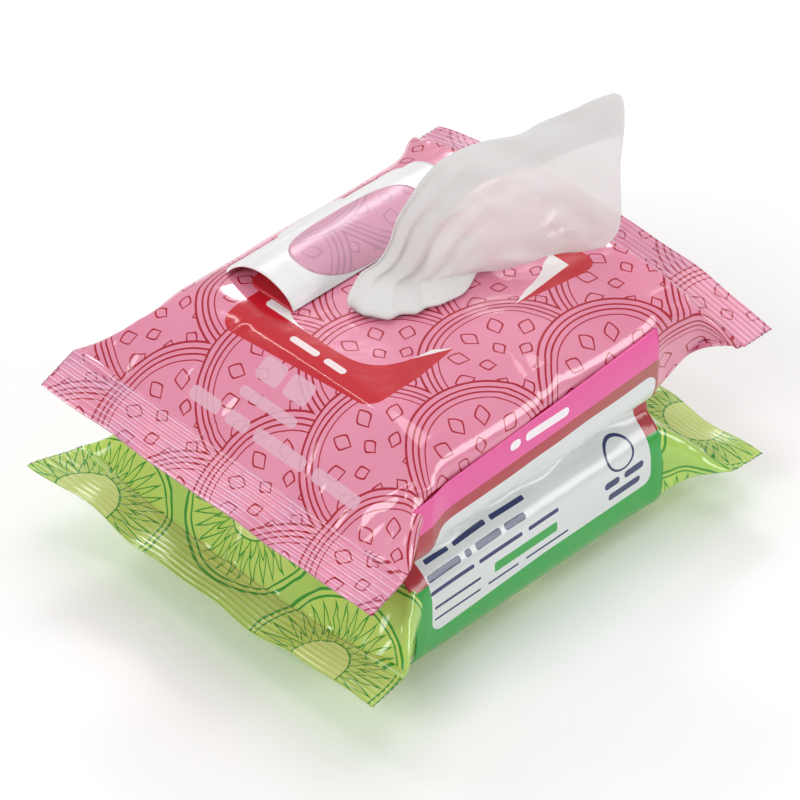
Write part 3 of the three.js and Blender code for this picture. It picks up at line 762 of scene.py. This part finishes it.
def smooth_line(points, count):
    """Catmull-Rom curve through points, at even shares of its length."""
    points = np.asarray(points, float)
    padded = np.concatenate([[2 * points[0] - points[1]], points, [2 * points[-1] - points[-2]]])
    t = np.linspace(0, len(points) - 1, 40 * len(points))
    k = np.minimum(t.astype(int), len(points) - 2)
    f = (t - k)[:, None]
    a, b, c, d = (padded[k + i] for i in range(4))
    curve = 0.5 * (2 * b + (c - a) * f + (2 * a - 5 * b + 4 * c - d) * f**2 + (3 * b - a - 3 * c + d) * f**3)
    run = np.concatenate([[0], np.cumsum(np.linalg.norm(np.diff(curve, axis=0), axis=1))])
    want = np.linspace(0, run[-1], count)
    return np.stack([np.interp(want, run, curve[:, axis]) for axis in range(3)], 1)


line_steps = 400
foot_z = film_top - 0.6
foot_plan = [(-14.4, 4.6), (-13.2, 0.4), (-9.4, -3.4), (-3, -5.6), (5, -6.6), (13, -6.7), (19, -6.0), (23.2, -4.4)]
foot_line = smooth_line([(x, y, foot_z) for x, y in foot_plan], line_steps)
upper_flag = [(-12.6, 7.6), (-7.5, 11.4), (-4.6, 15.8), (-3.2, 20), (-1.6, 25.6), (2.5, 33), (5.8, 38.4), (9.4, 42.4)]
upper_flag += [(14.4, 45.3), (22.4, 47.3), (33, 47.8), (38.4, 50.2), (48, 53.4), (54, 55.7), (59.7, 56.8)]
lower_flag = [(28.5, 1.3), (39, 2.8), (46, 3.0), (52, 2.4), (58.6, 2.6)]
tip_flag = [(59.7, 56.8), (62.2, 54.6), (63, 47.4), (62.6, 38), (62.3, 30.3), (63.3, 13.6), (62.2, 6.8), (58.6, 2.6)]
upper_start, lower_start = (-15.4, 5.2, film_top + 1.6), (24.2, -6.4, film_top + 0.9)
upper_line = smooth_line(np.concatenate([foot_line[:1], [upper_start], flag_place(upper_flag)]), line_steps)
lower_line = smooth_line(np.concatenate([foot_line[-1:], [lower_start], flag_place(lower_flag)]), line_steps)
tip_line = smooth_line(flag_place(tip_flag), line_steps)


def on(curve, share):
    """Points of a curve of even steps at shares of its length."""
    place = np.linspace(0, 1, len(curve))
    return np.stack([np.interp(share, place, curve[:, axis]) for axis in range(3)], -1)


def cloth_form(c, t):
    """Middle surface of the wipe's drawn part: a Coons patch between the foot at t 0, the leading edge at t 1,
    the folded upper edge at c 0 and the lower edge at c 1. On it stand soft gathers 0.5 - 0.5 cos(2 pi k) that
    fade along t, a bulge over the rim, as a bell about t 0.045, and slow waves of the free part."""
    c3, t3 = c[..., None], t[..., None]
    ends = between(on(foot_line, c), on(tip_line, c), t3)
    sides = between(on(upper_line, t), on(lower_line, t), c3)
    near = between(foot_line[0], foot_line[-1], c3)
    far = between(tip_line[0], tip_line[-1], c3)
    form = sides + ends - between(near, far, t3)
    facing = np.array([-0.62, -0.74, 0.26])
    inward = np.array([0.25, 0.97, 0.0])
    bunch = eased((0.66 - c) / 0.34) * eased(c / 0.05)
    gather = 0.5 - 0.5 * np.cos(2 * np.pi * (6.4 * c**0.8 + 0.22 * np.sin(6 * t)))
    depth = 0.9 * np.exp(-((t / 0.12) ** 2)) + 2.0 * np.exp(-((t - 0.24) ** 2) / 0.03)
    bulge = (2.6 + 3.2 * eased(c / 0.2)) * np.exp(-(((t - 0.045) / 0.038) ** 2))
    bulge = bulge * eased(t / 0.03) * eased((0.97 - c) / 0.3)
    heading = -0.3 + 1.6 * (1 - np.exp(-c / 0.22))
    outward = np.stack([-np.cos(heading), -np.sin(heading), np.zeros_like(c)], -1)
    slow = 1.1 * swell(c * 58, t * 80, 21, 6, 34, 80) + 0.3 * swell(c * 58, t * 80, 22, 8, 12, 26)
    waves = slow * eased(t / 0.25) * (0.5 + 0.5 * eased((1 - t) / 0.2))
    shift = waves[..., None] * facing + bulge[..., None] * outward
    return form + shift + (bunch * gather * depth * eased(t / 0.01 + 0.4))[..., None] * inward


fold_a = 115.0
tail_b = 134.0
leg_turns = (34.0, 109.0)
leg_ends = (-37.0, 38.0, 13.0)
flag_front = np.array([-0.493, -0.87, 0.0])


def wipe_form(a, b):
    """Middle surface of the wipe over its cut. Past tail_b it is the cloth form, whose c is the distance from the
    fold at fold_a, drawn in on its far side, and whose t is the share of the way to the leading edge; the plies
    stand apart by their thickness and 3.6 t c (1 - c). Before tail_b it lies on the stack in three level legs,
    to and fro between leg_ends, each a little under the one before."""
    t = np.clip((b - tail_b) / (wipe_cut[1] - tail_b), 0, 1)
    gathered = 0.32 + 0.43 * np.exp(-t / 0.17) + 0.11 * t**8
    drawn_in = np.where(b < tail_b, between(1.0, 0.75, b / tail_b), gathered)
    c = np.clip(np.hypot(a - fold_a, 0.6) / fold_a * np.where(a > fold_a, drawn_in, 1.0), 0, 1)
    side = np.tanh((fold_a - a) / 1.2)
    apart = 0.5 * side * (ply + 3.6 * t * (1 - c) * c)
    drawn = cloth_form(c, t) + apart[..., None] * flag_front

    back_run = np.clip(tail_b - b, 0, tail_b)
    foot = cloth_form(c, np.zeros_like(c))
    leading = between(foot[..., 1], leg_ends[0], back_run / leg_turns[0])
    y = np.where(back_run < leg_turns[0], leading, np.interp(back_run, (*leg_turns, tail_b), leg_ends))
    x = between(foot[..., 0], pile_lean + (c - 0.5) * 96, eased(back_run / 22))
    level = sum(eased((back_run - turn + 1) / 2) for turn in leg_turns)
    z = stack_height(y, wipes_held * wipe_pitch + 0.8 - 0.3 * level - 0.075 * side)
    return np.where((b < tail_b)[..., None], np.stack([x, y, z], 2), drawn)


near_fold = np.linspace(fold_a - 2, fold_a + 2, 14)[1:-1]
wipe_a = np.concatenate([np.linspace(0, fold_a - 2, 110), near_fold, np.linspace(fold_a + 2, wipe_cut[0], 74)])
wipe_b = np.concatenate([np.linspace(0, tail_b, 90)[:-1], np.linspace(tail_b, wipe_cut[1], 130)])
wipe_a, wipe_b = np.meshgrid(wipe_a, wipe_b, indexing="ij")
places = np.stack([wipe_a, wipe_b], 2)
wipe = thick_sheet("drawn_wipe_cloth", wipe_form(wipe_a, wipe_b), 0.1, places, [wet_cloth])
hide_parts("drawn_wipe")


# ---- Reseal labels ----
# Die cut labels of white film, printed with a red frame above and coated with clear glue below. The one on
# the upper pouch was peeled from its finger tab backwards and curls over, glue side out; the one on the lower
# pouch still lies flat.

# The peeled label stands 3.2 mm to the left of where it was stuck, as a label does once its hinge is skewed.
label_x, label_half = 5.6, 34.75
peel_y = 15.5
label_held, label_free, tab_length = 20.5, 38.0, 9.0
label_corner = 6.0
leave_angle, eased_angle, ease_run, curl_radius = 72.0, 28.0, 6.0, 17.9


def height_on(pouch, x, y, clear=0.0):
    """Height of a pouch's top at places of its plan, or of a skin clear of it, from its superellipse."""
    section = section_of(pouch, x)
    width = half_width_of(section) + clear
    share = np.minimum(1, np.abs(y) / width)
    half = section["top"] - section["middle"] + section["pressed"] + clear
    curved = section["middle"] + half * (1 - share ** section["top_power"]) ** (1 / section["top_power"])
    return np.minimum(section["top"] + clear, curved)


def curl_line(reach):
    """Place of the peeled label's points across the pouch: it leaves the film at 72 degrees, eases to 28 over
    6 mm, then bends down on a 17.9 mm radius until it rests on the film behind."""
    step = 0.25
    run = np.arange(0, reach.max() + 2, step)
    rising = between(leave_angle, eased_angle, run / ease_run)
    falling = np.maximum(eased_angle - np.degrees((run - ease_run) / curl_radius), -75.0)
    angle = np.radians(np.where(run < ease_run, rising, falling))
    y = peel_y + np.concatenate([[0], np.cumsum(step * np.cos(angle))[:-1]])
    z = film_top + 0.1 + np.concatenate([[0], np.cumsum(step * np.sin(angle))[:-1]])
    z = np.maximum(z, height_on(upper, np.full(len(y), label_x), y, 0.7))
    return np.interp(reach, run, y), np.interp(reach, run, z)


def label_half_width(reach):
    """Half width of the label past its peel line: 6 mm round corners, then a tapered finger tab."""
    past = reach - label_free
    share = np.clip(past / tab_length, 0, 1)
    near = np.clip(np.minimum(-past, reach + label_held), 0, label_corner)
    tab = 13 * (1 - 0.35 * share**2) - 3.6 * share**6
    return np.where(past >= 0, tab, label_half - label_corner + np.sqrt(label_corner**2 - (label_corner - near) ** 2))


def label_print_paint(n):
    """Printed side: a red frame with a white panel and one plain navy bar."""
    u, v = n("SeparateXYZ", n("UVMap", uv_map="print")).outputs[:2]
    panel = inside_bar(n, u, v, (label_x, 8.0), (52.0, 42.0), 6.0)
    bar = inside_bar(n, u, v, (label_x, 8.0), (34.0, 6.0), 3.0)
    return coated(n, "#cf3440", (panel, 1.0, "#f5f2f1"), (bar, 1.0, "#2b3a6b")), 0.25, film_gloss(n, u, v), None


def label_glue_paint(n):
    """Glue side: white film through a clear coat, faintly greyed where the print on the far side shows."""
    u, v = n("SeparateXYZ", n("UVMap", uv_map="print")).outputs[:2]
    panel = inside_bar(n, u, v, (label_x, 8.0), (52.0, 42.0), 6.0)
    streak = n("TexNoise", n("CombineXYZ", n("Math:MULTIPLY", u, 0.3), v), None, 0.35, 3.0).outputs[0]
    around = n("Math:SUBTRACT", 1.0, panel)
    return coated(n, "#eeedec", (around, 0.16, "#d9cfd4"), (streak, 0.18, "#d5dbdf")), 0.34, film_gloss(n, u, v), None


# Printed polypropylene label film: even colour with a satin gloss.
label_print = finish_of("printed_polypropylene_label_film", label_print_paint, IOR=1.5)
# The same film's back under acrylic glue: milky white with a softer gloss.
label_glue = finish_of("glue_coated_polypropylene_film", label_glue_paint, IOR=1.48, Specular_IOR_Level=0.4)
held, free, tab = (
    np.linspace(-label_held, 0, 30),
    np.linspace(0, label_free, 74)[1:],
    label_free + np.linspace(0.02, tab_length, 18),
)
label_run = np.concatenate([held, free, tab])
label_places = label_x + np.linspace(-1, 1, 61)[None, :] * label_half_width(label_run)[:, None]
curl_y, curl_z = curl_line(np.maximum(label_run, 0))
flat_y = peel_y - label_run
for name, pouch, curls, node_name in (
    ("reseal_label_film", upper, True, "reseal_label"),
    ("lower_reseal_label_film", lower, False, "lower_reseal_label"),
):
    y = np.where(label_run < 0, flat_y, curl_y) if curls else flat_y
    y = np.broadcast_to(y[:, None], label_places.shape)
    level = pouch["floor"] + pouch["height"] + 0.1
    lain = np.minimum(height_on(pouch, label_places.ravel(), y.ravel(), 0.12).reshape(y.shape), level)
    z = np.where(label_run[:, None] < 0, lain, curl_z[:, None]) if curls else lain
    grid = np.stack([label_places, y, z + 0.1], 2)
    places = np.stack(np.broadcast_arrays(label_places, label_run[:, None]), 2)
    label = thick_sheet(name, grid, 0.16, places, [label_print, label_glue], both=True)
    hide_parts(node_name)


# ---- Film cut-out ----
# The oval of the pouch's own polyester and polyethylene film, die cut, that came away on the label's glue. Its
# plain inner side shows, and the print behind it comes through paler and greyer.


def cutout_paint(n):
    """The scallops seen through the film from behind, at half strength on dull pink."""
    u, v = n("SeparateXYZ", n("UVMap", uv_map="print")).outputs[:2]
    return coated(n, "#d99fb6", (scallop_ink(n, u, v), 0.55, "#a87c98")), 0.3, film_gloss(n, u, v), None


# Unprinted side of the laminate: dulled colour under the same smooth film, a little less glossy.
film_back = finish_of("unprinted_side_of_polyester_film", cutout_paint, IOR=1.5)
cutout_shift = 2.6
angle = np.linspace(0.0, np.pi, 64)
across = -opening_half[1] * np.sign(np.cos(angle)) * np.abs(np.cos(angle)) ** oval_power
oval_run = 0.8 + opening_half[1] + across
oval_half = opening_half[0] * np.maximum(np.sin(angle), 0.02) ** oval_power
y, z = curl_line(oval_run)
ahead_y, ahead_z = curl_line(oval_run + 0.3)
lift = np.stack([z - ahead_z, ahead_y - y], 1)
lift /= np.linalg.norm(lift, axis=1, keepdims=True)
y, z = y + 0.16 * lift[:, 0], z + 0.1 + 0.16 * lift[:, 1]
oval_x = opening_middle[0] - cutout_shift + np.linspace(1, -1, 49)[None, :] * oval_half[:, None]
grid = np.stack(np.broadcast_arrays(oval_x, y[:, None], z[:, None]), 2)
print_map = np.stack(np.broadcast_arrays(oval_x, oval_run[:, None]), 2)
cutout = thick_sheet("film_oval", grid, 0.08, print_map, [film_back])
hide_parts("film_cutout")


# ---- Bundling label ----
# One label of glossy printed polypropylene film, stuck down the front of both pouches, which holds them
# together. It bridges their two bulging sides and is pressed into the crease between them.

bundle_x = (-50.5, 45.0)
bundle_foot, bundle_head = 7.0, 71.2
pouch_join = 47.0


def side_of(pouch, x, z, clear):
    """How far a skin clear of a pouch's side stands from the middle plane at heights z."""
    section = section_of(pouch, x)
    width = half_width_of(section) + clear
    above = z >= section["middle"]
    power = np.where(above, section["top_power"], section["bottom_power"])
    half = np.where(above, section["top"] - section["middle"], section["middle"] - section["bottom"])
    share = np.minimum(1, np.abs(z - section["middle"]) / (half + section["pressed"] + clear))
    return width * (1 - share**power) ** (1 / power)


def bundle_paint(n):
    """Magenta band and red frame above, green frame below, round a white panel with plain navy bars and a
    plain navy ring."""
    x, z = n("SeparateXYZ", n("UVMap", uv_map="print")).outputs[:2]
    slant = n("Math:SUBTRACT", z, n("Math:MULTIPLY", x, 0.05))
    panel = inside_bar(n, x, slant, (0.0, 37.8), (88.0, 38.6), 4.0)
    panel = n("Math:MAXIMUM", panel, inside_bar(n, x, z, (0.0, 26.0), (88.0, 15.0), 3.0))
    over = n("Math:GREATER_THAN", z, 33.5)
    brown = n("Math:MULTIPLY", n("Math:DIVIDE", x, 90.0, use_clamp=True), n("Math:GREATER_THAN", z, 46.0))
    band = n("Math:GREATER_THAN", slant, 61.5)
    bars = []
    for z_middle, depth, row in (
        (37.4, 0.9, ((-37.0, 9.0), (-24.0, 13.0), (-9.0, 13.0))),
        (34.4, 1.7, ((-37.0, 13.0), (-27.5, 2.4), (-19.5, 10.0), (-9.0, 8.0))),
        (30.6, 1.2, ((-35.5, 17.0), (-16.5, 17.0), (0.5, 12.0))),
        (25.2, 1.0, ((-34.0, 18.0),)),
        (21.0, 0.8, ((-34.0, 18.0), (-16.0, 12.0), (1.5, 17.0))),
        (27.2, 2.4, ((28.0, 6.0), (37.0, 8.0))),
        (22.6, 2.4, ((33.0, 13.0),)),
    ):
        bars += [inside_bar(n, x, z, (a, z_middle), (b, depth), depth / 2 - 0.1) for a, b in row]
    p, q = n("Math:SUBTRACT", x, 33.0), n("Math:MULTIPLY", n("Math:SUBTRACT", z, 33.8), 1.25)
    bars.append(n("Math:COMPARE", n("VectorMath:LENGTH", n("CombineXYZ", p, q)).outputs["Value"], 5.1, 0.42))
    green = inside_bar(n, x, z, (-7.0, 25.4), (25.0, 3.4), 0.5)
    white = [inside_bar(n, x, z, (a, 66.6), (b, 3.0), 1.4) for a, b in ((-12.5, 4.0), (0.0, 17.0))]
    coats = [(over, 1.0, "#b0202c"), (brown, 1.0, "#a8705c"), (band, 1.0, "#ea4f9d"), (panel, 1.0, "#dfe3e2")]
    coats += [(joined(n, *bars), 1.0, "#1f2f63"), (green, 1.0, "#22a53c"), (joined(n, *white), 1.0, "#fdf2f7")]
    return coated(n, "#22a53c", *coats), 0.22, film_gloss(n, x, z), None


# Gravure printed polypropylene film with a gloss varnish: strong flat colours and broad, clear glare.
varnish = {"IOR": 1.5, "Coat_Weight": 0.3, "Coat_Roughness": 0.06}
bundle_film = finish_of("varnished_polypropylene_label_film", bundle_paint, **varnish)
depths, stations = np.linspace(1, 0, 131), np.linspace(*bundle_x, 121)
level, station = np.meshgrid(depths, stations, indexing="ij")
level = (bundle_foot + level * (bundle_head + 0.06 * station - bundle_foot)).ravel()
station = station.ravel()
high = eased((level - 40) / 14)
station = station - 2.5 * high * np.clip(-station / 48, 0, 1) + 4.0 * (1 - high) * np.clip(station / 45, 0, 1)
# The label is stiffer than the film, so past 46 mm from the middle it doesn't follow the pouches' ends inwards.
stiff = np.clip(station, -46, 46)
stand_off = np.maximum(side_of(lower, stiff, level, 0.6), side_of(upper, stiff, level, 0.6))
crease = 46.0 + 1.2 * swell(station, level, 5, 6, 14, 40)
soft = 1.6
stand_off = soft * np.logaddexp(stand_off / soft, crease / soft)
ripple = 0.25 * swell(station, level, 6, 8, 12, 30) * np.exp(-(((level - pouch_join) / 12) ** 2))
shape = (len(depths), len(stations))
grid = np.stack([station, -(stand_off + ripple), level], 1).reshape(*shape, 3)
print_map = np.stack([station, level], 1).reshape(*shape, 2)
bundle = thick_sheet("bundling_label_film", grid, 0.2, print_map, [bundle_film])
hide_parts("bundling_label")
